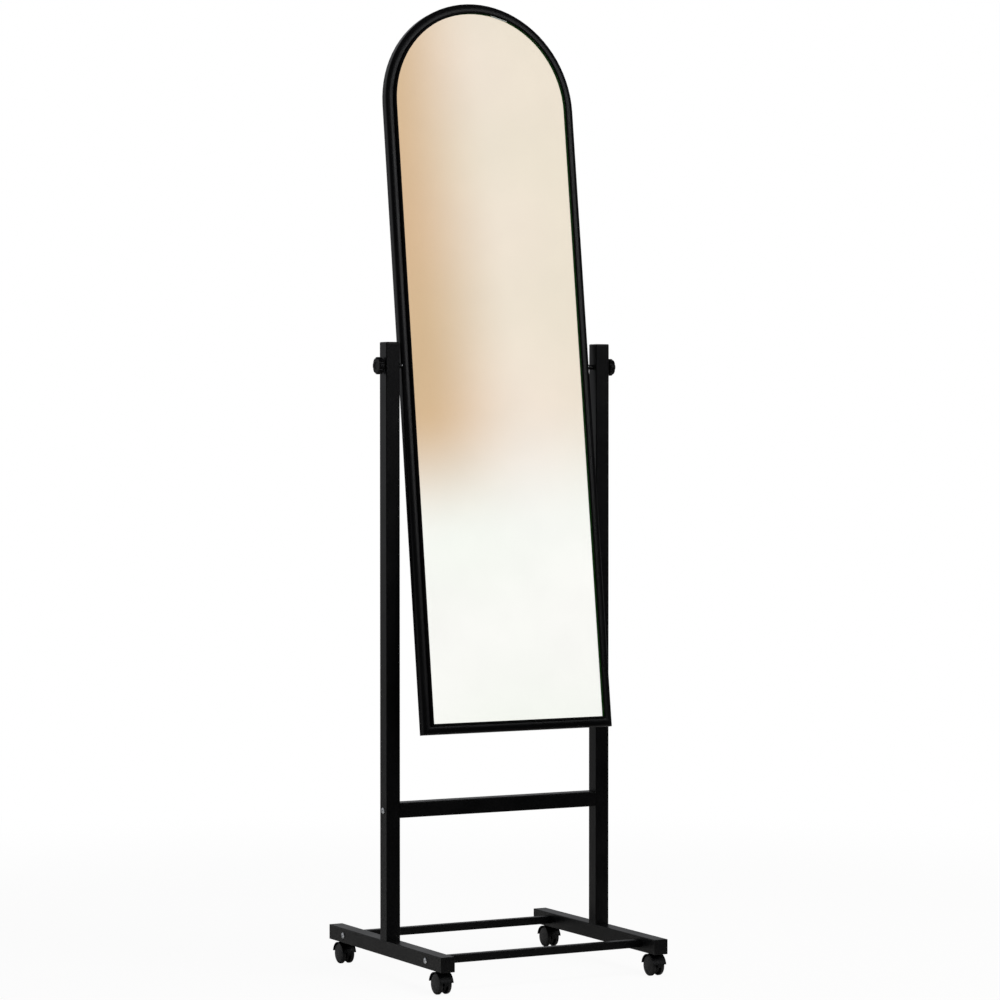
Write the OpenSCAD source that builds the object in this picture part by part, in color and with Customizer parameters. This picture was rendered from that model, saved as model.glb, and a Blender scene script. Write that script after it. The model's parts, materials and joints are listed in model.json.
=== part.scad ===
// Rolling floor mirror: an arched mirror that tilts between two square posts on a frame with four casters.
// Millimetres, +Z up. The origin is on the floor, midway between the posts. The mirror faces -Y.

/* [Stand] */
// Width of the base over its side rails
stand_w = 420; // [400:2:520]
// Length of each side rail, front to back
rail_l = 416; // [406:2:480]
// Height of the rails' undersides above the floor
rail_z = 37.5; // [37.5:0.5:40]
// Side of the square tube that rails, posts and crossbar share
tube = 25; // [24:0.5:28]
// Wall of the square tube
wall = 1.2; // [1:0.1:1.5]
// Height of the posts' tops above the floor
post_top = 1046; // [1040:1:1120]
// Height of the crossbar's middle above the floor
crossbar_z = 276.5; // [200:0.5:300]
// Side of the thin square rods between the rails
rod = 13; // [12:0.5:16]
// Distance of each thin rod from the posts, front and back
rod_y = 153; // [130:1:155]

/* [Mirror] */
// Height of the tilt axis above the floor
pivot_z = 1007; // [1000:1:1010]
// Lean of the mirror in its stored pose, top backwards
lean = 7.5; // [0:0.5:15]
// Gap between the mirror's frame and each post
side_gap = 8; // [6:0.5:10]
// Length of the mirror below the tilt axis
below_pivot = 607; // [560:1:612]
// Length of the mirror above the tilt axis
above_pivot = 615; // [560:1:660]
// Width of the frame's face, from its outer edge to the rubber trim
face_w = 14; // [12.5:0.5:16]
// Thickness of the glass
glass_t = 4; // [3:0.5:4.5]
// Thickness of the backing board
board_t = 3; // [2:0.5:4]

/* [Knobs] */
// Diameter of each star knob
knob_d = 28.5; // [26:0.5:34]
// Thickness of each knob's head
knob_t = 9.5; // [8:0.5:11]
// Number of lobes on a knob
lobes = 8; // [6:1:9]

/* [Casters] */
// Diameter of the wheels
wheel_d = 34; // [32:0.5:34]
// Width over the two wheels of a caster
pair_w = 24; // [23.5:0.5:26]
// Distance of each swivel axis from the middle of the rails
swivel_y = 179; // [175:0.5:180]
// Trail of the axle behind the swivel axis
trail = 5; // [5:0.5:6]

/* [Hidden] */
$fn = 64;

// Places that several pieces share
over = 1;                                // how far a cutter runs past the face it opens
post_x = stand_w / 2 - tube / 2;         // middle of each post and rail
inner_x = stand_w / 2 - tube;            // inner faces of posts and rails
rail_mid_z = rail_z + tube / 2;
rail_top = rail_z + tube;
tube_r = 1.5;                            // corner radius of the square tubes
rod_r = 1.2;                             // corner radius of the thin rods
bore_gap = 0.05;                         // radial play of a turning fit
hole_gap = 0.2;                          // radial play of a screw in its clearance hole

// End plugs and caps
plug_head = 2.5;
plug_l = 12;
plug_wall = 1.6;
plug_round = 1.2;
plug_gap = 0.2;                          // play of a plug's skirt across the tube's inside
cap_h = 3;
cap_round = 2.2;
cap_z = post_top - cap_h;

// Screwed joints
bolt_r = 4;
bolt_head_r = 6.5;
bolt_head_h = 5;
bolt_l = 20;
bolt_socket_r = 3.4;
bolt_socket_h = 3;
access_r = 7.5;
insert_l = 20;
bar_screw_r = 3;
bar_screw_l = 20;
rod_screw_r = 2.5;
rod_screw_l = 15;
screw_head_r = 5;
screw_head_h = 2.4;
screw_rim_h = 0.6;                       // height of a screw head's straight rim
socket_h = 1.6;                          // depth of its hexagon socket
screw_end = 2;                           // how far a screw stops short of its insert's end
rod_wall = 1;
rod_z = rail_mid_z + 0.3;

// Pivot
bush_r = 4.25;
bush_gap = 0.1;                          // between each bush's end and the mirror's frame
stud_r = 3;
block_l = 20;
block_gap = 0.05;                        // play of the pivot blocks in the frame's hollow
thread_l = 11;
washer_r = 7;
washer_t = 1;
neck_r = 6;
neck_l = 1.8;
neck_rim = 0.8;                          // straight part of a knob's neck, before it widens to the head
knob_round = 2;
flute_r = 3;
flute_out = 0.8;                         // how far outside the knob's rim the flutes' middles lie
dish_h = 0.8;
knob_back = stand_w / 2 + washer_t + neck_l;

// Frame of the mirror, drawn as the mirror lies on its back: x across, y up the mirror, z out of the glass
half_w = inner_x - side_gap;
spring_y = above_pivot - half_w;         // where the sides run into the arch
frame_wall = 1.4;
face_h = 16;                             // height of the face's crest over the back
crest_x = 9.5;                           // distance of that crest from the outer edge
face_r = 18;                             // radius of the domed face
edge_r = 4;                              // radius that rounds the face into the outer side
lip_w = 8;                               // shelf behind the glass
lip_h = 11.3;
lip_t = 1.5;
axis_h = 10.9;                           // height of the tilt axis over the frame's back
rubber_t = 1.2;
trim_front = 20.3;
trim_w = 3.5;
trim_back_w = 6;
trim_back_t = 1.7;
trim_bevel = 0.8;
glass_inset = face_w + rubber_t;
glass_h = lip_h + lip_t + trim_back_t;
board_inset = face_w + 0.3;
key_l = 34;
key_w = 9;
key_h = 9.2;

// Casters
wheel_r = wheel_d / 2;
axle_z = wheel_r;
axle_r = 2;
wheel_w = 7.2;
wheel_in = pair_w / 2 - wheel_w;         // inner faces of the wheels, from the caster's middle
wheel_crown = 0.9;                       // how far the middle of a wheel's outer face stands over its rim
tread_r = 1.2;
shoulder_r = 2.4;
axle_half = pair_w / 2 - 1.7;
axle_bevel = 0.4;
hood_t = 1.5;
hood_r = wheel_r + 1 + hood_t;
hood_half = pair_w / 2 + 0.5;
hood_end_h = 3;                          // height of the hood's lower edges over the axle
skirt_gap = 0.7;                         // between the hood's middle skirt and the wheels
skirt_drop = 2;                          // how far that skirt reaches below the axle
web_t = 4.8;
web_r = 14;                              // radius of the middle web round the axle
seat_h = 1.7;                            // thickness of the seat under the stem's collar
pin_r = 3;
pin_l = 15.4;
collar_r = 7;
collar_t = 0.9;
boss_r = 4.5;
stem_r = 4;
stem_l = 9;
nut_side = 16;
nut_t = 6;

// ---------- shapes that several pieces share ----------

// Points of an arc round [x, y], from angle a0 to a1 in n steps
function arc(x, y, r, a0, a1, n, first = 0) =
    [for (i = [first:n]) let (a = a0 + (a1 - a0) * i / n) [x + r * cos(a), y + r * sin(a)]];

// Square with rounded corners, centred
module rounded_square(side, r) {
    flat = side / 2 - r;
    square([side, 2 * flat], center = true);
    square([2 * flat, side], center = true);
    for (x = [-flat, flat], y = [-flat, flat])
        translate([x, y]) circle(r, $fn = 24);
}

// Section of a hollow square tube; r rounds its outer corners
module tube_section(side, t, r) {
    difference() {
        rounded_square(side, r);
        square(side - 2 * t, center = true);
    }
}

// Turns what is drawn along +Z so that it runs along +Y
module along_y() {
    rotate([-90, 0, 0]) children();
}

// Turns what is drawn along +Z so that it runs along +X
module along_x() {
    rotate([0, 90, 0]) children();
}

// Mirrors a right-hand piece to the left
module left_side() {
    mirror([1, 0, 0]) children();
}

module both_sides() {
    children();
    left_side() children();
}

// Screw along +X from its head's seat: a domed head with a hexagon socket, and a plain shank
module button_screw(r, l) {
    dome = screw_head_h - screw_rim_h;
    along_x() difference() {
        union() {
            rotate_extrude() polygon([
                [0, 0], [screw_head_r, 0], [screw_head_r, -screw_rim_h],
                for (a = [15:15:75]) [screw_head_r * cos(a), -screw_rim_h - dome * sin(a)],
                [0, -screw_head_h],
            ]);
            translate([0, 0, -screw_rim_h]) cylinder(r = r, h = l + screw_rim_h);
        }
        translate([0, 0, -screw_head_h - over]) cylinder(r = r * 0.6, h = over + socket_h, $fn = 6);
    }
}

// ---------- base ----------

// Side rail: a tube along Y with its holes for the post bolt, the caster stems and the rods' screws
module rail() {
    difference() {
        translate([post_x, -rail_l / 2 + plug_head, rail_mid_z]) along_y()
            linear_extrude(rail_l - 2 * plug_head) tube_section(tube, wall, tube_r);
        translate([post_x, 0, rail_mid_z]) cylinder(r = bolt_r + hole_gap, h = tube);
        translate([post_x, 0, rail_z - over]) cylinder(r = access_r, h = over + 2 * wall);
        for (y = [-swivel_y, swivel_y])
            translate([post_x, y, rail_z - over]) cylinder(r = stem_r + hole_gap, h = over + 2 * wall);
        for (y = [-rod_y, rod_y])
            translate([inner_x - over, y, rod_z]) along_x()
                cylinder(r = rod_screw_r + hole_gap, h = tube + 2 * over);
    }
}

module left_base_rail() {
    color("dimgray") left_side() rail();
}

module right_base_rail() {
    color("dimgray") rail();
}

// Outline of a moulded head seen from one side, with its two outer corners rounded
module head_outline(h, r) {
    flat = tube / 2 - r;
    polygon([
        [-tube / 2, 0], [tube / 2, 0],
        each arc(flat, h - r, r, 0, 90, 6),
        each arc(-flat, h - r, r, 90, 180, 6),
    ]);
}

// Moulded end piece of a tube: a head as large as the tube, and a hollow skirt with a cross of ribs inside it
module end_piece(h, r) {
    side = tube - 2 * wall - plug_gap;
    intersection() {
        linear_extrude(h) rounded_square(tube, tube_r);
        rotate([90, 0, 0]) linear_extrude(tube + 2 * over, center = true) head_outline(h, r);
        rotate([90, 0, 90]) linear_extrude(tube + 2 * over, center = true) head_outline(h, r);
    }
    translate([0, 0, -plug_l]) linear_extrude(plug_l) difference() {
        square(side, center = true);
        square(side - 2 * plug_wall, center = true);
    }
    for (a = [0, 90])
        rotate([0, 0, a]) translate([0, 0, -plug_l / 2]) cube([plug_wall, side, plug_l], center = true);
}

module rail_plugs() {
    for (side = [0, 1])
        mirror([0, side, 0]) translate([post_x, rail_l / 2 - plug_head, rail_mid_z]) along_y()
            end_piece(plug_head, plug_round);
}

module left_rail_plugs() {
    color("black") left_side() rail_plugs();
}

module right_rail_plugs() {
    color("black") rail_plugs();
}

// Square rod between the rails
module cross_rod() {
    translate([-inner_x, 0, rod_z]) along_x() linear_extrude(2 * inner_x) tube_section(rod, rod_wall, rod_r);
}

module front_cross_rod() {
    color("dimgray") translate([0, -rod_y, 0]) cross_rod();
}

module rear_cross_rod() {
    color("dimgray") translate([0, rod_y, 0]) cross_rod();
}

// Tapped block inside a tube's end, drilled from its outer end; it lies along -Z from the mouth
module tapped_block(side, l, r) {
    difference() {
        translate([0, 0, -l / 2]) cube([side, side, l], center = true);
        translate([0, 0, -l - over]) cylinder(r = r, h = l + 2 * over);
    }
}

module rod_inserts() {
    color("gray") both_sides() for (y = [-rod_y, rod_y])
        translate([inner_x, y, rod_z]) along_x() tapped_block(rod - 2 * rod_wall, rod_screw_l, rod_screw_r);
}

module rod_screws() {
    color("silver") both_sides() for (y = [-rod_y, rod_y])
        translate([stand_w / 2, y, rod_z]) mirror([1, 0, 0])
            button_screw(rod_screw_r, tube + rod_screw_l - screw_end);
}

// ---------- posts and crossbar ----------

module post() {
    difference() {
        translate([post_x, 0, rail_top]) linear_extrude(cap_z - rail_top) tube_section(tube, wall, tube_r);
        translate([inner_x - over, 0, pivot_z]) along_x() cylinder(r = bush_r, h = tube + 2 * over);
        translate([inner_x - over, 0, crossbar_z]) along_x()
            cylinder(r = bar_screw_r + hole_gap, h = tube + 2 * over);
    }
}

module left_post() {
    color("dimgray") left_side() post();
}

module right_post() {
    color("dimgray") post();
}

// Moulded cap on a post's top
module post_cap() {
    translate([post_x, 0, cap_z]) end_piece(cap_h, cap_round);
}

module left_post_cap() {
    color("black") left_side() post_cap();
}

module right_post_cap() {
    color("black") post_cap();
}

module post_inserts() {
    color("gray") both_sides() translate([post_x, 0, rail_top]) rotate([180, 0, 0])
        tapped_block(tube - 2 * wall, insert_l, bolt_r);
}

// Bolts that hold the posts from inside the rails, heads under the rails' top walls
module post_bolts() {
    seat = rail_top - wall;
    color("silver") both_sides() translate([post_x, 0, seat]) {
        cylinder(r = bolt_r, h = bolt_l);
        translate([0, 0, -bolt_head_h]) difference() {
            cylinder(r = bolt_head_r, h = bolt_head_h);
            translate([0, 0, -over]) cylinder(r = bolt_socket_r, h = over + bolt_socket_h, $fn = 6);
        }
    }
}

module crossbar() {
    color("dimgray") translate([-inner_x, 0, crossbar_z]) along_x()
        linear_extrude(2 * inner_x) tube_section(tube, wall, tube_r);
}

module crossbar_inserts() {
    color("gray") both_sides() translate([inner_x, 0, crossbar_z]) along_x()
        tapped_block(tube - 2 * wall, bar_screw_l, bar_screw_r);
}

module crossbar_screws() {
    color("silver") both_sides() translate([stand_w / 2, 0, crossbar_z]) mirror([1, 0, 0])
        button_screw(bar_screw_r, tube + bar_screw_l - screw_end);
}

// Plastic sleeve through the post, which runs on as the spacer beside the mirror
module pivot_bush() {
    reach = side_gap - bush_gap;
    translate([inner_x - reach, 0, pivot_z]) along_x() difference() {
        cylinder(r = bush_r, h = tube + reach);
        translate([0, 0, -over]) cylinder(r = stud_r + bore_gap, h = tube + reach + 2 * over);
    }
}

module left_pivot_bush() {
    color("black") left_side() pivot_bush();
}

module right_pivot_bush() {
    color("black") pivot_bush();
}

// ---------- mirror ----------

// Puts what is drawn lying on its back into the leaning mirror
module in_mirror() {
    translate([0, 0, pivot_z]) rotate([-lean, 0, 0]) translate([0, axis_h, 0]) rotate([90, 0, 0]) children();
}

// Outer line of the frame's section, from the outer side's foot over the domed face; t insets it evenly
function face_line(t) = let (
        dome_y = face_h - face_r,
        round_y = dome_y + sqrt(pow(face_r - edge_r, 2) - pow(crest_x - edge_r, 2)),
        blend = atan2(round_y - dome_y, edge_r - crest_x),
        last = acos((face_w - t - crest_x) / (face_r - t))
    ) [
        [t, t],
        each arc(edge_r, round_y, edge_r - t, 180, blend, 4),
        each arc(crest_x, dome_y, face_r - t, blend, last, 6, first = 1),
    ];

// Section of the hollow frame: x runs inwards from its outer side, y from its back to its face
module frame_section() {
    difference() {
        polygon([
            each face_line(0), [face_w, lip_h + lip_t], [face_w + lip_w, lip_h + lip_t],
            [face_w + lip_w, lip_h], [face_w, lip_h], [face_w, 0],
        ]);
        polygon([each face_line(frame_wall), [face_w - frame_wall, frame_wall]]);
    }
}

// Section of the rubber trim that holds the glass's edge, on the same axes
module trim_section() {
    base = lip_h + lip_t;
    difference() {
        union() {
            translate([face_w, base]) square([rubber_t, trim_front - trim_bevel - base]);
            translate([face_w, base]) square([trim_back_w, glass_h - base]);
            polygon([
                [face_w, glass_h + glass_t], [face_w, trim_front - trim_bevel],
                [face_w + trim_bevel, trim_front],
                [face_w + trim_w - trim_bevel, trim_front], [face_w + trim_w, trim_front - trim_bevel],
                [face_w + trim_w, glass_h + glass_t],
            ]);
        }
        translate([glass_inset, glass_h]) square([trim_w, glass_t]);
    }
}

// Everything below the two mitre lines of the bottom corners
module mitre_wedge() {
    reach = 60;
    translate([0, 0, -over]) linear_extrude(trim_front + 2 * over) polygon([
        [-half_w - over, -below_pivot - over], [half_w + over, -below_pivot - over],
        [half_w - reach, -below_pivot + reach], [-half_w + reach, -below_pivot + reach],
    ]);
}

// Carries a section, given by its child, up both sides and round the arch
module sweep_arch() {
    difference() {
        union() {
            translate([0, spring_y, 0]) rotate_extrude(angle = 180, $fn = 120)
                translate([half_w, 0]) mirror([1, 0]) children();
            both_sides() translate([0, spring_y, 0]) rotate([90, 0, 0]) linear_extrude(spring_y + below_pivot)
                translate([half_w, 0]) mirror([1, 0]) children();
        }
        mitre_wedge();
    }
}

// Carries a section, given by its child, along the bottom, with mitred ends
module sweep_bottom() {
    intersection() {
        translate([0, -below_pivot, 0]) rotate([90, 0, 90])
            linear_extrude(2 * half_w, center = true) children();
        mitre_wedge();
    }
}

// Area of the arched outline, drawn in by an inset on every side
module arched_plate(inset, t) {
    r = half_w - inset;
    translate([0, spring_y, 0]) rotate_extrude(angle = 180, $fn = 120) square([r, t]);
    translate([-r, -below_pivot + inset, 0]) cube([2 * r, spring_y + below_pivot - inset, t]);
}

module mirror_frame_arch() {
    color("dimgray") in_mirror() difference() {
        sweep_arch() frame_section();
        both_sides() translate([half_w + over, 0, axis_h]) rotate([0, -90, 0])
            cylinder(r = stud_r + hole_gap, h = over + face_w / 2);
    }
}

module mirror_frame_bottom() {
    color("dimgray") in_mirror() sweep_bottom() frame_section();
}

// Angle pieces inside the mitred corners
module frame_corner_keys() {
    color("silver") in_mirror() both_sides()
        translate([half_w - frame_wall, -below_pivot + frame_wall, frame_wall]) mirror([1, 0, 0]) {
            cube([key_l, key_w, key_h]);
            cube([key_w, key_l, key_h]);
        }
}

// Tapped blocks inside the frame's sides, which take the knobs' studs
module pivot_blocks() {
    inset = frame_wall + block_gap;
    color("gray") in_mirror() both_sides() difference() {
        translate([half_w, block_l / 2, 0]) rotate([90, 0, 0]) linear_extrude(block_l) mirror([1, 0])
            polygon([each face_line(inset), [face_w - inset, inset]]);
        translate([half_w, 0, axis_h]) rotate([0, -90, 0])
            cylinder(r = stud_r + bore_gap, h = thread_l + frame_wall);
    }
}

module mirror_glass() {
    color("lightsteelblue") in_mirror() translate([0, 0, glass_h]) arched_plate(glass_inset, glass_t);
}

module glass_edge_trim() {
    color("black") in_mirror() {
        sweep_arch() trim_section();
        sweep_bottom() trim_section();
    }
}

module backing_board() {
    color("saddlebrown") in_mirror() translate([0, 0, lip_h - board_t]) arched_plate(board_inset, board_t);
}

// ---------- knobs ----------

module knob_washer() {
    translate([stand_w / 2, 0, pivot_z]) along_x() difference() {
        cylinder(r = washer_r, h = washer_t);
        translate([0, 0, -over]) cylinder(r = stud_r + bore_gap, h = washer_t + 2 * over);
    }
}

module left_knob_washer() {
    color("silver") left_side() knob_washer();
}

module right_knob_washer() {
    color("silver") knob_washer();
}

module knob_stud() {
    start = half_w - thread_l;
    translate([start, 0, pivot_z]) along_x() cylinder(r = stud_r, h = knob_back + knob_t / 2 - start);
}

module left_knob_stud() {
    color("silver") left_side() knob_stud();
}

module right_knob_stud() {
    color("silver") knob_stud();
}

// Star head: a short neck under a thick rounded disc with a dished face, cut by round flutes
module knob_head() {
    r = knob_d / 2;
    top = neck_l + knob_t;
    dish_r = r / 2;
    translate([stand_w / 2 + washer_t, 0, pivot_z]) along_x() difference() {
        rotate_extrude() polygon([
            [0, 0], [neck_r, 0], [neck_r, neck_rim],
            each arc(r - knob_round, neck_l + knob_round, knob_round, -90, 0, 6),
            each arc(r - knob_round, top - knob_round, knob_round, 0, 90, 6),
            [dish_r, top], [dish_r - 2 * dish_h, top - dish_h], [0, top - dish_h],
        ]);
        for (i = [0:lobes - 1])
            rotate([0, 0, (i + 0.5) * 360 / lobes]) translate([r + flute_out, 0, -over])
                cylinder(r = flute_r, h = top + 2 * over);
        translate([0, 0, -over]) cylinder(r = stud_r, h = over + neck_l + knob_t / 2);
    }
}

module left_knob_head() {
    color("black") left_side() knob_head();
}

module right_knob_head() {
    color("black") knob_head();
}

// ---------- casters ----------

// Puts a caster, drawn round its swivel axis on the floor, under the rail's end; x and y are -1 or 1
module at_caster(x, y) {
    translate([x * post_x, y * swivel_y, 0]) children();
}

module at_casters() {
    for (x = [-1, 1], y = [-1, 1]) at_caster(x, y) children();
}

// Nut plates inside the rails
module caster_nut_plates() {
    color("gray") at_casters() translate([0, 0, rail_z + wall + nut_t]) tapped_block(nut_side, nut_t, stem_r);
}

// Stems: a threaded end in the nut plate, a collar under the rail and a pin that the caster turns on
module caster_stems() {
    color("silver") at_casters() translate([0, 0, rail_z]) rotate_extrude() polygon([
        [0, -collar_t - pin_l], [pin_r, -collar_t - pin_l], [pin_r, -collar_t],
        [collar_r, -collar_t], [collar_r, 0], [stem_r, 0], [stem_r, stem_l], [0, stem_l],
    ]);
}

// Part of the hood that arches over the wheels, or over their middle: a ring cut flat below
module hood_arc(half, r_in, low) {
    translate([0, -trail, axle_z]) intersection() {
        along_x() difference() {
            cylinder(r = hood_r, h = 2 * half, center = true);
            cylinder(r = r_in, h = 2 * half + 2 * over, center = true);
        }
        translate([-half - over, -hood_r - over, low])
            cube([2 * (half + over), 2 * (hood_r + over), 2 * hood_r]);
    }
}

// Hooded body: shells over the wheels, a skirt and a round web between them, and bosses for axle and swivel
module caster_hood() {
    boss_z = axle_z + 1;
    seat_top = rail_z - collar_t - 0.3;
    difference() {
        union() {
            hood_arc(hood_half, hood_r - hood_t, hood_end_h);
            hood_arc(wheel_in - skirt_gap, hood_r - hood_t, -skirt_drop);
            hood_arc(web_t / 2, axle_r, -skirt_drop);
            translate([0, -trail, axle_z]) along_x() {
                cylinder(r = web_r, h = web_t, center = true);
                cylinder(r = boss_r, h = 2 * (wheel_in - 0.3), center = true);
            }
            translate([0, 0, boss_z]) cylinder(r = boss_r - 0.2, h = seat_top - seat_h - boss_z + over);
            translate([0, 0, seat_top - seat_h]) cylinder(r = collar_r - 0.5, h = seat_h);
        }
        translate([0, 0, rail_z - collar_t - pin_l - 0.3])
            cylinder(r = pin_r + bore_gap, h = pin_l + 2 * over);
        translate([0, -trail, axle_z]) along_x() cylinder(r = axle_r, h = pair_w, center = true);
    }
}

// Axle with bevelled ends, which stop inside the wheels' hubs
module caster_axle() {
    translate([0, -trail, axle_z]) along_x() rotate_extrude() polygon([
        [0, -axle_half], [axle_r - axle_bevel, -axle_half], [axle_r, -axle_half + axle_bevel],
        [axle_r, axle_half - axle_bevel], [axle_r - axle_bevel, axle_half], [0, axle_half],
    ]);
}

// Wheel on the +X side: a rounded tread, a closed outer face with a low crown, and a ribbed hollow inside
module caster_wheel() {
    rim_t = 2.6;
    hub_r = 4.6;
    hollow = 4.4;
    rib_t = 1.2;
    flat_r = wheel_r - shoulder_r;
    shoulder_z = wheel_w - wheel_crown;
    bore_r = axle_r + bore_gap;
    bore_l = axle_half - wheel_in + 0.3;
    translate([wheel_in, -trail, axle_z]) along_x() {
        rotate_extrude() difference() {
            polygon([
                [0, bore_l], [bore_r, bore_l], [bore_r, 0],
                each arc(wheel_r - tread_r, tread_r, tread_r, -90, 0, 4),
                each arc(flat_r, shoulder_z - shoulder_r, shoulder_r, 0, 90, 4),
                for (k = [0.75, 0.5, 0.25, 0]) [flat_r * k, wheel_w - wheel_crown * k * k],
            ]);
            translate([hub_r, -over]) square([wheel_r - rim_t - hub_r, hollow + over]);
        }
        for (i = [0:5])
            rotate([0, 0, i * 60]) translate([hub_r - 0.5, -rib_t / 2, 0.6])
                cube([wheel_r - rim_t - hub_r + 1, rib_t, hollow - 0.4]);
    }
}

module front_left_caster_hood() {
    color("black") at_caster(-1, -1) caster_hood();
}

module front_right_caster_hood() {
    color("black") at_caster(1, -1) caster_hood();
}

module rear_left_caster_hood() {
    color("black") at_caster(-1, 1) caster_hood();
}

module rear_right_caster_hood() {
    color("black") at_caster(1, 1) caster_hood();
}

module front_left_caster_axle() {
    color("silver") at_caster(-1, -1) caster_axle();
}

module front_right_caster_axle() {
    color("silver") at_caster(1, -1) caster_axle();
}

module rear_left_caster_axle() {
    color("silver") at_caster(-1, 1) caster_axle();
}

module rear_right_caster_axle() {
    color("silver") at_caster(1, 1) caster_axle();
}

// Each caster has wheel a on its -X side and wheel b on its +X side
module front_left_wheel_a() {
    color("black") at_caster(-1, -1) left_side() caster_wheel();
}

module front_left_wheel_b() {
    color("black") at_caster(-1, -1) caster_wheel();
}

module front_right_wheel_a() {
    color("black") at_caster(1, -1) left_side() caster_wheel();
}

module front_right_wheel_b() {
    color("black") at_caster(1, -1) caster_wheel();
}

module rear_left_wheel_a() {
    color("black") at_caster(-1, 1) left_side() caster_wheel();
}

module rear_left_wheel_b() {
    color("black") at_caster(-1, 1) caster_wheel();
}

module rear_right_wheel_a() {
    color("black") at_caster(1, 1) left_side() caster_wheel();
}

module rear_right_wheel_b() {
    color("black") at_caster(1, 1) caster_wheel();
}

// ---------- one line a piece ----------

left_base_rail();
right_base_rail();
left_rail_plugs();
right_rail_plugs();
left_post();
right_post();
left_post_cap();
right_post_cap();
post_inserts();
post_bolts();
left_pivot_bush();
right_pivot_bush();
crossbar();
crossbar_inserts();
crossbar_screws();
front_cross_rod();
rear_cross_rod();
rod_inserts();
rod_screws();
caster_nut_plates();
caster_stems();
mirror_frame_arch();
mirror_frame_bottom();
frame_corner_keys();
pivot_blocks();
mirror_glass();
glass_edge_trim();
backing_board();
left_knob_washer();
right_knob_washer();
left_knob_stud();
right_knob_stud();
left_knob_head();
right_knob_head();
front_left_caster_hood();
front_left_caster_axle();
front_left_wheel_a();
front_left_wheel_b();
front_right_caster_hood();
front_right_caster_axle();
front_right_wheel_a();
front_right_wheel_b();
rear_left_caster_hood();
rear_left_caster_axle();
rear_left_wheel_a();
rear_left_wheel_b();
rear_right_caster_hood();
rear_right_caster_axle();
rear_right_wheel_a();
rear_right_wheel_b();
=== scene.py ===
import json
import math

import bpy
from mathutils import Matrix, Vector

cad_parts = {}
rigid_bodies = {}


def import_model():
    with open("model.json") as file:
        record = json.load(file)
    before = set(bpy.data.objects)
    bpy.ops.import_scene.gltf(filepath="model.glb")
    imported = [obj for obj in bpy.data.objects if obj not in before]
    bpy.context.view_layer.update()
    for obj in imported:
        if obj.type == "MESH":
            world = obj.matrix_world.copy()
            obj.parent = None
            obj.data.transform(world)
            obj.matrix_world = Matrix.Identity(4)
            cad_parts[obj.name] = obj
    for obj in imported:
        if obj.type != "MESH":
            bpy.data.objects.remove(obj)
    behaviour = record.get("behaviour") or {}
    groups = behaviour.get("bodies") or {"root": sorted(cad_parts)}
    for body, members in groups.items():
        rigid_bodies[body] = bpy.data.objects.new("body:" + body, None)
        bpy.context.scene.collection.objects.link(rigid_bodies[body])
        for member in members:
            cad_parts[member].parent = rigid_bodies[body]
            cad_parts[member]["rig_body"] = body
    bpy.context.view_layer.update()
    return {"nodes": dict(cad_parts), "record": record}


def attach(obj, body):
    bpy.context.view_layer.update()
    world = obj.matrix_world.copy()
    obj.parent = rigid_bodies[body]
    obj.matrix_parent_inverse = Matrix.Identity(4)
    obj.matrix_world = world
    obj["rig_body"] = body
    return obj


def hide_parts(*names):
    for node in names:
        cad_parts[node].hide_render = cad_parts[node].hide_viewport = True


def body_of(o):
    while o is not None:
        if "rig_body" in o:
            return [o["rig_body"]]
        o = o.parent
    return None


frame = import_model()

nodes = frame["nodes"]
print("frame loaded:", len(nodes), "nodes")


def linearColour(hexColour):
    values = [int(hexColour[i:i + 2], 16) / 255 for i in (1, 3, 5)]
    return [v / 12.92 if v <= 0.04045 else ((v + 0.055) / 1.055) ** 2.4 for v in values] + [1.0]


def addNode(tree, kind, inputs=None, **settings):
    node = tree.nodes.new(kind)
    for name, value in settings.items():
        setattr(node, name, value)
    for socket, value in (inputs or {}).items():
        if isinstance(value, bpy.types.NodeSocket):
            tree.links.new(value, node.inputs[socket])
        else:
            node.inputs[socket].default_value = value
    return node


def emptyMaterial(name):
    material = bpy.data.materials.new(name)
    material.use_nodes = True
    material.node_tree.nodes.clear()
    return material, material.node_tree


def perMetre(millimetres):
    return 1000 / millimetres


def noiseOn(tree, coords, sizeMm, detail=2.0, rough=0.5):
    return addNode(tree, "ShaderNodeTexNoise", {
        "Vector": coords, "Scale": perMetre(sizeMm), "Detail": detail, "Roughness": rough,
    }).outputs["Fac"]


usualNoise = (0.3, 0.7)  # nearly all of a noise texture's values lie between these


def spread(tree, factor, low, high):
    return addNode(tree, "ShaderNodeMapRange", {
        "Value": factor, "From Min": usualNoise[0], "From Max": usualNoise[1], "To Min": low, "To Max": high,
    }).outputs["Result"]


def twoTone(tree, factor, dark, light):
    return addNode(tree, "ShaderNodeMix", {
        "Factor": factor, "A": linearColour(dark), "B": linearColour(light),
    }, data_type="RGBA").outputs["Result"]


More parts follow.
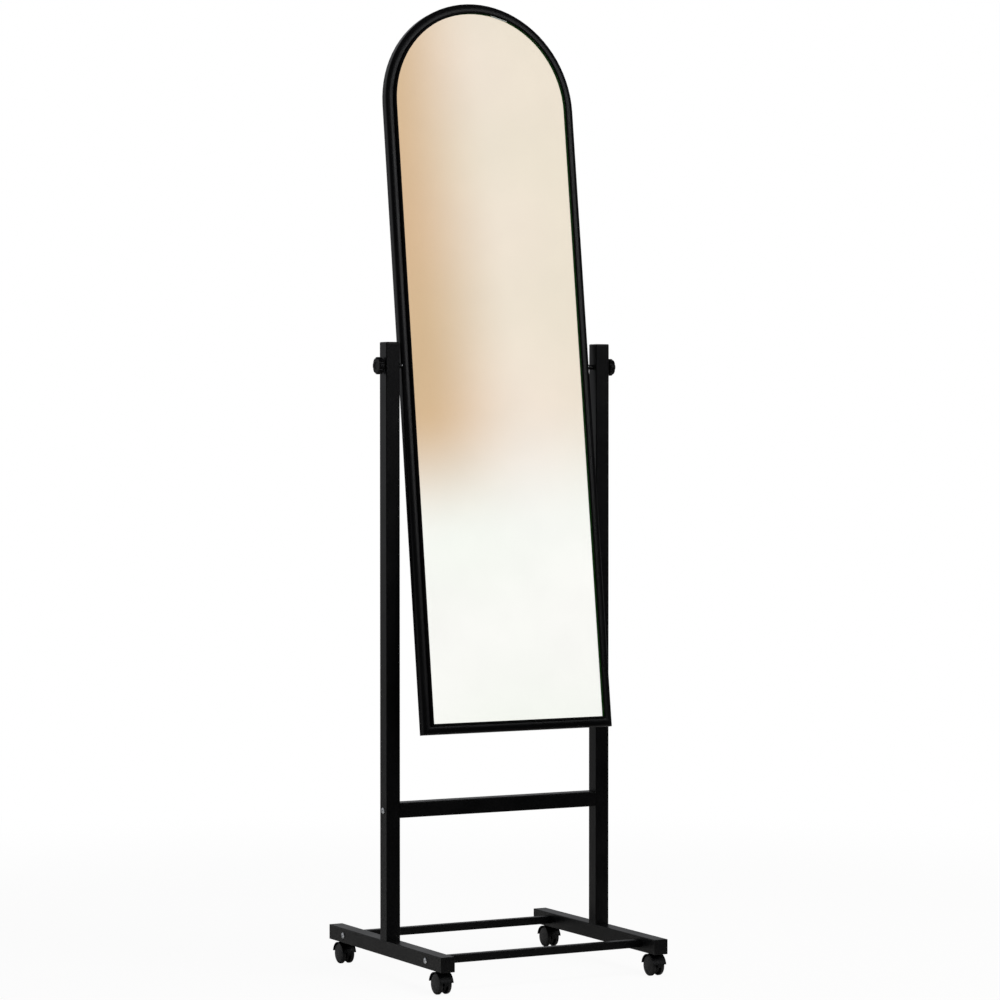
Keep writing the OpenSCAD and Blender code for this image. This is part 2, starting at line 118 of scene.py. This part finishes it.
def dressedMaterial(name, look):
    # Every opaque surface here has a colour that drifts a little, an uneven gloss and a fine relief
    material, tree = emptyMaterial(name)
    coords = addNode(tree, "ShaderNodeTexCoord").outputs["Object"]
    placed = addNode(tree, "ShaderNodeMapping", {"Vector": coords, "Scale": look.get("stretch", (1, 1, 1))})
    coords = placed.outputs["Vector"]
    drift = noiseOn(tree, coords, look["driftMm"], detail=3.0)
    relief = noiseOn(tree, coords, look["reliefMm"], detail=look.get("reliefDetail", 2.0), rough=0.6)
    bump = addNode(tree, "ShaderNodeBump", {
        "Height": relief, "Strength": look["reliefStrength"], "Distance": look["reliefDepthMm"] / 1000,
    })
    surface = addNode(tree, "ShaderNodeBsdfPrincipled", {
        "Base Color": twoTone(tree, spread(tree, drift, 0.0, 1.0), look["dark"], look["light"]),
        "Roughness": spread(tree, drift, *look["roughness"]),
        "Metallic": look.get("metallic", 0.0),
        "IOR": look.get("ior", 1.5),
        "Specular IOR Level": look.get("specular", 0.5),
        "Normal": bump.outputs["Normal"],
    })
    addNode(tree, "ShaderNodeOutputMaterial", {"Surface": surface.outputs["BSDF"]})
    return material


# Polyester powder coat on steel tube, baked: satin black with a faint orange peel, and no metal showing
powderCoatLook = {
    "dark": "#040405", "light": "#080809", "driftMm": 70, "roughness": (0.30, 0.38), "specular": 0.13,
    "reliefMm": 2.6, "reliefStrength": 0.10, "reliefDepthMm": 0.12,
}
powderCoat = dressedMaterial("satinPowderCoat", powderCoatLook)

# Drawn aluminium section with the same black coat, laid on thinner, so it reflects more sharply
coatedSectionLook = {
    "dark": "#040405", "light": "#080809", "driftMm": 90, "roughness": (0.26, 0.32), "specular": 0.13,
    "reliefMm": 3.2, "reliefStrength": 0.06, "reliefDepthMm": 0.10,
}
coatedSection = dressedMaterial("coatedAluminiumSection", coatedSectionLook)

# Polypropylene moulded against an etched tool: its grain scatters the light, so knobs and hoods look dull
mouldedPlasticLook = {
    "dark": "#040405", "light": "#080809", "driftMm": 14, "roughness": (0.42, 0.54), "specular": 0.14,
    "reliefMm": 0.9, "reliefStrength": 0.22, "reliefDepthMm": 0.10,
}
mouldedPlastic = dressedMaterial("grainedPolypropylene", mouldedPlasticLook)

# Nylon moulded in a polished tool: harder and glossier than the hoods, with a wide soft highlight
wheelNylonLook = {
    "dark": "#0a0a0b", "light": "#101011", "driftMm": 9, "roughness": (0.34, 0.46), "specular": 0.20,
    "reliefMm": 1.6, "reliefStrength": 0.12, "reliefDepthMm": 0.08, "ior": 1.53,
}
wheelNylon = dressedMaterial("blackNylon", wheelNylonLook)

# The tubes' caps and plugs: polyethylene from a smooth tool, as glossy as the coat beside them
tubeEndLook = {
    "dark": "#050506", "light": "#09090a", "driftMm": 11, "roughness": (0.32, 0.40), "specular": 0.16,
    "reliefMm": 1.4, "reliefStrength": 0.10, "reliefDepthMm": 0.08,
}
tubeEnd = dressedMaterial("smoothPolyethylene", tubeEndLook)

# Extruded rubber trim with carbon black: the darkest surface, nearly without a highlight
trimRubberLook = {
    "dark": "#030303", "light": "#060606", "driftMm": 22, "roughness": (0.70, 0.82), "specular": 0.12,
    "reliefMm": 1.1, "reliefStrength": 0.15, "reliefDepthMm": 0.08,
}
trimRubber = dressedMaterial("extrudedRubber", trimRubberLook)

# Zinc-plated steel: a grey metal, slightly blue, cloudy from the bath
zincLook = {
    "dark": "#b4b7bb", "light": "#d2d4d6", "driftMm": 3.5, "roughness": (0.26, 0.40), "metallic": 1.0,
    "reliefMm": 0.8, "reliefStrength": 0.08, "reliefDepthMm": 0.04,
}
zincPlate = dressedMaterial("zincPlatedSteel", zincLook)

# Hardboard pressed from wood fibre, painted black on its outer side: fibres show as a short, ragged grain
hardboardLook = {
    "dark": "#17150f", "light": "#2b2720", "driftMm": 5, "roughness": (0.66, 0.80), "stretch": (0.35, 1, 1),
    "reliefMm": 1.8, "reliefDetail": 6.0, "reliefStrength": 0.35, "reliefDepthMm": 0.15,
}
hardboard = dressedMaterial("blackHardboard", hardboardLook)


# Float glass: clear, a little green, with the long waves of drawn glass, and dark green at its cut edge, where a
# painted green glow stands in for the light that the pane carries there
glassLook = {
    "clearDark": "#f8fcf8", "clearLight": "#fdfefd", "ior": 1.52,
    "waveMm": 260, "waveStrength": 0.02, "waveDepthMm": 0.05,
    "edgeDark": "#0a1a08", "edgeLight": "#14280f", "edgeMm": 2.5, "edgeRoughness": 0.7, "edgeSpecular": 0.2,
    "paintedEdgeGlow": "#062804", "silverDark": "#f2f2f0", "silverLight": "#f6f6f4", "hazeMm": 120,
    "silverRoughness": (0.0, 0.012), "clearance": 0.0001, "hiddenRim": 0.0022, "flatWithin": 1,
}


def clearGlass(name, look):
    material, tree = emptyMaterial(name)
    coords = addNode(tree, "ShaderNodeTexCoord").outputs["Object"]
    wave = noiseOn(tree, coords, look["waveMm"], detail=0.0)
    bump = addNode(tree, "ShaderNodeBump", {
        "Height": wave, "Strength": look["waveStrength"], "Distance": look["waveDepthMm"] / 1000,
    })
    surface = addNode(tree, "ShaderNodeBsdfPrincipled", {
        "Base Color": twoTone(tree, spread(tree, wave, 0.0, 1.0), look["clearDark"], look["clearLight"]),
        "Roughness": 0.0, "IOR": look["ior"],
        "Transmission Weight": 1.0, "Normal": bump.outputs["Normal"],
    })
    addNode(tree, "ShaderNodeOutputMaterial", {"Surface": surface.outputs["BSDF"]})
    return material


def silverLayer(name, look):
    # The silver on the glass's back, seen through the glass, a little hazy in wide clouds
    material, tree = emptyMaterial(name)
    coords = addNode(tree, "ShaderNodeTexCoord").outputs["Object"]
    haze = noiseOn(tree, coords, look["hazeMm"], detail=4.0)
    surface = addNode(tree, "ShaderNodeBsdfPrincipled", {
        "Base Color": twoTone(tree, spread(tree, haze, 0.0, 1.0), look["silverDark"], look["silverLight"]),
        "Metallic": 1.0, "Roughness": spread(tree, haze, *look["silverRoughness"]),
    })
    addNode(tree, "ShaderNodeOutputMaterial", {"Surface": surface.outputs["BSDF"]})
    return material


def cutEdgeWithPaintedGlow(name, look):
    # The cut edge is dark green, and a constant green emission on it paints a faint glow, standing in for the light
    # that the pane carries to its edge
    material, tree = emptyMaterial(name)
    coords = addNode(tree, "ShaderNodeTexCoord").outputs["Object"]
    grind = noiseOn(tree, coords, look["edgeMm"], detail=3.0)
    surface = addNode(tree, "ShaderNodeBsdfPrincipled", {
        "Base Color": twoTone(tree, spread(tree, grind, 0.0, 1.0), look["edgeDark"], look["edgeLight"]),
        "Roughness": look["edgeRoughness"], "Specular IOR Level": look["edgeSpecular"],
        # painted glow: a constant green emission on the cut edge and the hidden rim
        "Emission Color": linearColour(look["paintedEdgeGlow"]), "Emission Strength": 1.0,
    })
    addNode(tree, "ShaderNodeOutputMaterial", {"Surface": surface.outputs["BSDF"]})
    return material


floatGlass = clearGlass("clearFloatGlass", glassLook)
silver = silverLayer("silverBacking", glassLook)
glassEdgeWithPaintedGlow = cutEdgeWithPaintedGlow("greenCutEdgeWithPaintedGlow", glassLook)

finishOfSlot = {
    "black_powder_coat": powderCoat, "black_aluminium": coatedSection, "black_plastic": mouldedPlastic,
    "black_nylon": wheelNylon, "black_rubber": trimRubber, "plated_steel": zincPlate,
    "silvered_glass": silver, "backing_hardboard": hardboard,
}
slotOfNode = {part["node"]: part["material_slot"] for part in frame["record"]["subparts"]}
for nodeName, node in nodes.items():
    node.data.materials.clear()
    isTubeEnd = nodeName.endswith(("_cap", "_plugs"))
    node.data.materials.append(tubeEnd if isTubeEnd else finishOfSlot[slotOfNode[nodeName]])
print("materials set on", len(nodes), "nodes")


# The leaning mirror's own axes: x across, y out of its back, z up its face, from the tilt axis
lean = {"degrees": 7.5, "axisHeight": 1.007}
leanTurn = Matrix.Rotation(math.radians(-lean["degrees"]), 4, "X")
mirrorPlace = Matrix.Translation((0, 0, lean["axisHeight"])) @ leanTurn
outOfBack = leanTurn.to_3x3() @ Vector((0, 1, 0))

mergeWithin = 0.000001
facingShare = 0.9  # a face counts as front or back when this much of its normal points that way


def deselectAll():
    bpy.ops.object.select_all(action="DESELECT")


def selectOnly(piece):
    deselectAll()
    bpy.context.view_layer.objects.active = piece
    piece.select_set(True)


def copyOfNode(nodeName, pieceName):
    # A node's mesh is loose triangles, so the copy's doubles are merged first
    piece = bpy.data.objects.new(pieceName, nodes[nodeName].data.copy())
    bpy.context.scene.collection.objects.link(piece)
    selectOnly(piece)
    bpy.ops.object.mode_set(mode="EDIT")
    bpy.ops.mesh.select_all(action="SELECT")
    bpy.ops.mesh.remove_doubles(threshold=mergeWithin)
    bpy.ops.object.mode_set(mode="OBJECT")
    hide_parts(nodeName)
    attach(piece, body_of(nodes[nodeName])[0])
    return piece


# The glass as three surfaces: clear in front, silver behind, and dark green with a painted glow at its cut edge and
# in the rim that the trim hides.
# It is a hair smaller than its seat, so that no two faces lie in one place
def dressGlass():
    glass = copyOfNode("mirror_glass", "mirrorPane")
    glass.data.materials.clear()
    for material in (floatGlass, silver, glassEdgeWithPaintedGlow):
        glass.data.materials.append(material)
    bpy.ops.object.mode_set(mode="EDIT")
    bpy.ops.mesh.select_all(action="SELECT")
    bpy.ops.mesh.dissolve_limited(angle_limit=math.radians(glassLook["flatWithin"]))
    bpy.ops.transform.shrink_fatten(value=-glassLook["clearance"])
    bpy.ops.mesh.select_mode(type="FACE")
    bpy.ops.mesh.select_all(action="DESELECT")
    bpy.ops.object.mode_set(mode="OBJECT")
    for face in glass.data.polygons:
        face.select = face.normal.dot(outOfBack) < -facingShare
    bpy.ops.object.mode_set(mode="EDIT")
    bpy.ops.mesh.inset(thickness=glassLook["hiddenRim"])
    bpy.ops.object.mode_set(mode="OBJECT")
    for face in glass.data.polygons:
        isBack = face.normal.dot(outOfBack) > facingShare
        face.material_index = 0 if face.select else 1 if isBack else 2


dressGlass()
print("glass dressed")


# Rounded and bent forms are shaded smooth on copies of their nodes. What nobody can see stays as it is.
# Sharp edges are marked in edit mode, because shading by angle left these copies smooth all over
smoothing = {
    "sharpFrom": 32,
    "hidden": ("_inserts", "_bolts", "_plates", "_keys", "_blocks", "_stud", "_board", "_glass"),
}


def smoothNode(nodeName):
    piece = copyOfNode(nodeName, nodeName + "Smooth")
    bpy.ops.object.mode_set(mode="EDIT")
    bpy.ops.mesh.select_mode(type="EDGE")
    bpy.ops.mesh.select_all(action="DESELECT")
    bpy.ops.mesh.edges_select_sharp(sharpness=math.radians(smoothing["sharpFrom"]))
    bpy.ops.mesh.mark_sharp()
    bpy.ops.object.mode_set(mode="OBJECT")
    bpy.ops.object.shade_smooth()
    flats = piece.modifiers.new("evenFlats", "WEIGHTED_NORMAL")
    flats.keep_sharp = True
    flats.mode = "FACE_AREA_WITH_ANGLE"
    bpy.ops.object.modifier_apply(modifier=flats.name)


shaded = [nodeName for nodeName in sorted(nodes) if not nodeName.endswith(smoothing["hidden"])]
for nodeName in shaded:
    smoothNode(nodeName)
print("shaded smooth:", len(shaded), "copies")


# Screws that hold the backing board, left out of the solids because they are small. Places are in the mirror's axes
boardScrew = {
    "headRadius": 0.0034, "headHeight": 0.0017, "headSides": 32, "bevelShare": 0.45, "bevelSegments": 4,
    "crossWidth": 0.0009, "crossLength": 0.0042, "crossDepth": 0.0010, "sharpFrom": 35, "twistEach": 23,
    "boardBack": 0.0026, "fromEdge": 0.019, "sideHeights": (-0.55, -0.30, -0.05, 0.20, 0.42),
    "archAngles": (52, 90, 128), "bottomPlaces": (-0.085, 0.085),
    "halfWidth": 0.177, "springLine": 0.438, "bottomEdge": -0.607,
}


def makeBoardScrew():
    height = boardScrew["headHeight"]
    deselectAll()
    bpy.ops.mesh.primitive_cylinder_add(
        vertices=boardScrew["headSides"], radius=boardScrew["headRadius"], depth=height, location=(0, 0, height / 2))
    head = bpy.context.active_object
    bevel = head.modifiers.new("roundedHead", "BEVEL")
    bevel.width = height * boardScrew["bevelShare"]
    bevel.segments = boardScrew["bevelSegments"]
    bevel.limit_method = "ANGLE"
    for turn in (0, 90):
        deselectAll()
        bpy.ops.mesh.primitive_cube_add(size=1, location=(0, 0, height), rotation=(0, 0, math.radians(turn)))
        bar = bpy.context.active_object
        bar.scale = (boardScrew["crossLength"], boardScrew["crossWidth"], 2 * boardScrew["crossDepth"])
        cut = head.modifiers.new("cross", "BOOLEAN")
        cut.operation = "DIFFERENCE"
        cut.object = bar
        selectOnly(head)
        while head.modifiers:
            bpy.ops.object.modifier_apply(modifier=head.modifiers[0].name)
        bpy.data.objects.remove(bar)
    selectOnly(head)
    bpy.ops.object.shade_smooth_by_angle(angle=math.radians(boardScrew["sharpFrom"]))
    return head


def boardScrewPlaces():
    reach = boardScrew["halfWidth"] - boardScrew["fromEdge"]
    places = [(side * reach, height) for side in (-1, 1) for height in boardScrew["sideHeights"]]
    for degrees in boardScrew["archAngles"]:
        angle = math.radians(degrees)
        places.append((reach * math.cos(angle), boardScrew["springLine"] + reach * math.sin(angle)))
    places += [(x, boardScrew["bottomEdge"] + boardScrew["fromEdge"]) for x in boardScrew["bottomPlaces"]]
    return places


def addBoardScrews():
    pattern = makeBoardScrew()
    places = boardScrewPlaces()
    outward = Matrix.Rotation(math.radians(-90), 4, "X")
    for index, (across, up) in enumerate(places):
        head = pattern.copy()
        head.data = pattern.data.copy()
        head.name = "boardScrew" + str(index + 1)
        bpy.context.scene.collection.objects.link(head)
        twist = Matrix.Rotation(math.radians(boardScrew["twistEach"] * index), 4, "Z")
        head.matrix_world = mirrorPlace @ Matrix.Translation((across, boardScrew["boardBack"], up)) @ outward @ twist
        selectOnly(head)
        bpy.ops.object.transform_apply(location=True, rotation=True, scale=True)
        head.data.materials.clear()
        head.data.materials.append(zincPlate)
        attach(head, "mirror")
    bpy.data.objects.remove(pattern)
    print("board screws:", len(places))


addBoardScrews()


def smoothStep(tree, value, limits, ends=(0.0, 1.0)):
    return addNode(tree, "ShaderNodeMapRange", {
        "Value": value, "From Min": limits[0], "From Max": limits[1], "To Min": ends[0], "To Max": ends[1],
    }, interpolation_type="SMOOTHSTEP").outputs["Result"]


def combined(tree, kind, first, second, **settings):
    return addNode(tree, "ShaderNodeMath", {0: first, 1: second}, operation=kind, **settings).outputs["Value"]


def seenRays(tree, rays):
    # 1 for what is seen plainly, straight or in the mirror, whose light comes back through its glass
    return combined(tree, "MAXIMUM", rays.outputs["Is Camera Ray"], rays.outputs["Is Transmission Ray"])


def coatRays(tree, rays):
    # 1 for what the coats' gloss reflects, and 0 for what the mirror shows
    return combined(tree, "SUBTRACT", rays.outputs["Is Glossy Ray"], rays.outputs["Is Transmission Ray"],
                    use_clamp=True)


# A pale floor that fades to white around the object and keeps its shadow. Where the coats reflect it, it is painted
# darker towards the front, as painted shade
floorLook = {
    "radius": 9.0, "sides": 96, "colour": "#e9e8e6", "white": 0.94, "whiteFrom": (1.1, 2.4),
    "paintedShadeInReflections": "#4c4b4a", "paintedShadeForward": (-0.15, -0.70),
}


def addFloor():
    deselectAll()
    bpy.ops.mesh.primitive_circle_add(
        vertices=floorLook["sides"], radius=floorLook["radius"], fill_type="NGON", location=(0, 0, 0))
    floor = bpy.context.active_object
    floor.name = "studioFloor"
    material, tree = emptyMaterial("paleFloor")
    coords = addNode(tree, "ShaderNodeTexCoord").outputs["Object"]
    far = addNode(tree, "ShaderNodeVectorMath", {0: coords}, operation="LENGTH").outputs["Value"]
    fade = smoothStep(tree, far, floorLook["whiteFrom"], (floorLook["white"], 1.0))
    rays = addNode(tree, "ShaderNodeLightPath")
    seen = combined(tree, "MULTIPLY", fade, seenRays(tree, rays))
    place = addNode(tree, "ShaderNodeSeparateXYZ", {"Vector": coords})
    # painted shade: in what the coats reflect, the floor turns darker towards the front
    forward = smoothStep(tree, place.outputs["Y"], floorLook["paintedShadeForward"])
    dim = combined(tree, "MULTIPLY", forward, coatRays(tree, rays))
    tone = twoTone(tree, dim, floorLook["colour"], floorLook["paintedShadeInReflections"])
    paint = addNode(tree, "ShaderNodeBsdfDiffuse", {"Color": tone})
    white = addNode(tree, "ShaderNodeEmission", {"Color": (1, 1, 1, 1), "Strength": 1.0})
    blend = addNode(tree, "ShaderNodeMixShader", {
        0: seen, 1: paint.outputs["BSDF"], 2: white.outputs["Emission"],
    })
    addNode(tree, "ShaderNodeOutputMaterial", {"Surface": blend.outputs["Shader"]})
    floor.data.materials.append(material)


# A plain curved backdrop in front of the mirror, which stands in no view: it gives soft light and reflections.
# The mirror shows its tones, warm above and pale below. The black coats reflect a neutral one, brighter above,
# with a dim gap where the mirror's front would veil what its silver shows. Pairs for "starts" and "ends" are X
# limits in the pale part and in the warm part
backdropLook = {
    "radius": 4.6, "sides": 180, "headings": (-85, 85), "heights": (0.50, 4.6), "fadeIn": (0.55, 1.15),
    "pale": "#fffefd", "warmLeft": "#ddbc99", "warmRight": "#f6e8db", "warmAcross": (2.02, 2.30),
    "warmAbove": (1.62, 2.05), "strength": 1.12,
    "starts": ((1.35, 1.75), (0.20, 1.20)), "ends": ((2.55, 2.85), (2.90, 3.50)),
    "glossTone": "#f4f5f7", "gloss": (0.9, 7.6), "glossFadeOut": (3.0, 3.9),
    "gapMiddle": 2.22, "gapHalf": (0.30, 0.42), "glossInGap": 0.10,
}


def makeBackdrop():
    low, high = backdropLook["heights"]
    deselectAll()
    bpy.ops.mesh.primitive_cylinder_add(
        vertices=backdropLook["sides"], radius=backdropLook["radius"], depth=high - low,
        end_fill_type="NOTHING", location=(0, 0, (high + low) / 2))
    backdrop = bpy.context.active_object
    backdrop.name = "studioBackdrop"
    bpy.ops.object.mode_set(mode="EDIT")
    bpy.ops.mesh.select_all(action="DESELECT")
    bpy.ops.object.mode_set(mode="OBJECT")
    first, last = backdropLook["headings"]
    for face in backdrop.data.polygons:
        heading = math.degrees(math.atan2(face.center.x, -face.center.y))
        face.select = not first <= heading <= last
    bpy.ops.object.mode_set(mode="EDIT")
    bpy.ops.mesh.select_mode(type="FACE")
    bpy.ops.mesh.delete(type="FACE")
    bpy.ops.object.mode_set(mode="OBJECT")
    bpy.ops.object.transform_apply(location=True, rotation=True, scale=True)
    backdrop.visible_camera = False
    backdrop.visible_shadow = False
    return backdrop


def backdropMaterial():
    material, tree = emptyMaterial("softBackdrop")
    rays = addNode(tree, "ShaderNodeLightPath")
    coords = addNode(tree, "ShaderNodeTexCoord").outputs["Object"]
    place = addNode(tree, "ShaderNodeSeparateXYZ", {"Vector": coords})
    x, z = place.outputs["X"], place.outputs["Z"]
    warm = smoothStep(tree, z, backdropLook["warmAbove"])
    across = smoothStep(tree, x, backdropLook["warmAcross"])
    warmTone = twoTone(tree, across, backdropLook["warmLeft"], backdropLook["warmRight"])
    colour = addNode(tree, "ShaderNodeMix", {
        "Factor": warm, "A": linearColour(backdropLook["pale"]), "B": warmTone,
    }, data_type="RGBA").outputs["Result"]
    shown = smoothStep(tree, z, backdropLook["fadeIn"])
    for (inPale, inWarm), ends in ((backdropLook["starts"], (0.0, 1.0)), (backdropLook["ends"], (1.0, 0.0))):
        limits = [addNode(tree, "ShaderNodeMapRange", {
            "Value": warm, "To Min": inPale[i], "To Max": inWarm[i],
        }).outputs["Result"] for i in (0, 1)]
        shown = combined(tree, "MULTIPLY", shown, smoothStep(tree, x, limits, ends))
    gloss = addNode(tree, "ShaderNodeMapRange", {
        "Value": warm, "To Min": backdropLook["gloss"][0], "To Max": backdropLook["gloss"][1],
    }).outputs["Result"]
    aside = combined(tree, "SUBTRACT", x, backdropLook["gapMiddle"])
    aside = addNode(tree, "ShaderNodeMath", {0: aside}, operation="ABSOLUTE").outputs["Value"]
    aside = smoothStep(tree, aside, backdropLook["gapHalf"])
    gloss = addNode(tree, "ShaderNodeMix", {
        "Factor": aside, "A": backdropLook["glossInGap"], "B": gloss,
    }).outputs["Result"]
    gloss = combined(tree, "MULTIPLY", gloss, smoothStep(tree, z, backdropLook["glossFadeOut"], (1.0, 0.0)))
    strength = addNode(tree, "ShaderNodeMix", {
        "Factor": coatRays(tree, rays), "A": backdropLook["strength"], "B": gloss,
    })
    colour = addNode(tree, "ShaderNodeMix", {
        "Factor": rays.outputs["Is Transmission Ray"], "A": linearColour(backdropLook["glossTone"]), "B": colour,
    }, data_type="RGBA").outputs["Result"]
    glow = addNode(tree, "ShaderNodeEmission", {"Color": colour, "Strength": strength.outputs["Result"]})
    clear = addNode(tree, "ShaderNodeBsdfTransparent", {"Color": (1, 1, 1, 1)})
    blend = addNode(tree, "ShaderNodeMixShader", {
        0: shown, 1: clear.outputs["BSDF"], 2: glow.outputs["Emission"],
    })
    addNode(tree, "ShaderNodeOutputMaterial", {"Surface": blend.outputs["Shader"]})
    return material


def addBackdrop():
    backdrop = makeBackdrop()
    backdrop.data.materials.append(backdropMaterial())


# White where it is seen, a plain grey light on the object, and for the coats' reflections a studio that is bright
# behind the mirror and dimmer in front, above and on the right
studio = {
    "grey": "#e6e7ea", "strength": 0.28, "frontToBack": (-0.9, 0.7), "levels": (0.12, 0.70),
    "dimUpwards": (0.35, 0.75), "levelUp": 0.35, "dimRight": (0.15, 0.80), "levelRight": 0.40,
}


def addWorld():
    world = bpy.data.worlds.new("studio")
    bpy.context.scene.world = world
    world.use_nodes = True
    tree = world.node_tree
    tree.nodes.clear()
    rays = addNode(tree, "ShaderNodeLightPath")
    white = addNode(tree, "ShaderNodeBackground", {"Color": (1, 1, 1, 1), "Strength": 1.0})
    grey = addNode(tree, "ShaderNodeBackground", {
        "Color": linearColour(studio["grey"]), "Strength": studio["strength"],
    })
    coords = addNode(tree, "ShaderNodeTexCoord").outputs["Generated"]
    way = addNode(tree, "ShaderNodeSeparateXYZ", {"Vector": coords})
    level = smoothStep(tree, way.outputs["Y"], studio["frontToBack"], studio["levels"])
    ceiling = smoothStep(tree, way.outputs["Z"], studio["dimUpwards"], (1.0, studio["levelUp"]))
    right = smoothStep(tree, way.outputs["X"], studio["dimRight"], (1.0, studio["levelRight"]))
    level = combined(tree, "MULTIPLY", level, ceiling)
    level = combined(tree, "MULTIPLY", level, right)
    pale = addNode(tree, "ShaderNodeBackground", {"Color": linearColour(studio["grey"]), "Strength": level})
    mirrored = addNode(tree, "ShaderNodeMixShader", {
        0: coatRays(tree, rays), 1: grey.outputs["Background"], 2: pale.outputs["Background"],
    })
    blend = addNode(tree, "ShaderNodeMixShader", {
        0: seenRays(tree, rays), 1: mirrored.outputs["Shader"], 2: white.outputs["Background"],
    })
    addNode(tree, "ShaderNodeOutputWorld", {"Surface": blend.outputs["Shader"]})


lamps = {
    "overheadSoftbox": {
        "place": (0.3, -0.6, 3.6), "target": (0, 0, 0.6), "size": 2.4, "watts": 60, "colour": "#ffffff",
    },
    "keySoftbox": {
        "place": (2.6, -3.4, 2.9), "target": (0, 0, 0.9), "size": 1.6, "watts": 45, "colour": "#fff8f0",
    },
}


def addLamp(name, lamp):
    deselectAll()
    bpy.ops.object.light_add(type="AREA", location=lamp["place"])
    light = bpy.context.active_object
    light.name = name
    light.data.shape = "DISK"
    light.data.size = lamp["size"]
    light.data.energy = lamp["watts"]
    light.data.color = linearColour(lamp["colour"])[:3]
    light.visible_glossy = False
    light.visible_transmission = False
    direction = Vector(lamp["target"]) - Vector(lamp["place"])
    light.rotation_euler = direction.to_track_quat("-Z", "Y").to_euler()


# The photograph's camera, fitted to the straight edges. The heading is clockwise from the object's front-to-back axis
view = {
    "place": (-2.7202, -5.0999, 0.9278), "headingDegrees": 28.14, "downDegrees": 1.42,
    "lensMm": 124.8, "sensorMm": 36, "farthest": 100,
}


def addCamera():
    data = bpy.data.cameras.new("photoCamera")
    camera = bpy.data.objects.new("photoCamera", data)
    bpy.context.scene.collection.objects.link(camera)
    camera.location = view["place"]
    camera.rotation_euler = (math.radians(90 - view["downDegrees"]), 0, -math.radians(view["headingDegrees"]))
    data.lens = view["lensMm"]
    data.sensor_width = view["sensorMm"]
    data.clip_end = view["farthest"]
    bpy.context.scene.camera = camera


addFloor()
addBackdrop()
addWorld()
for lampName, lamp in lamps.items():
    addLamp(lampName, lamp)
addCamera()
bpy.context.scene.view_settings.view_transform = "Standard"
print("stage ready")
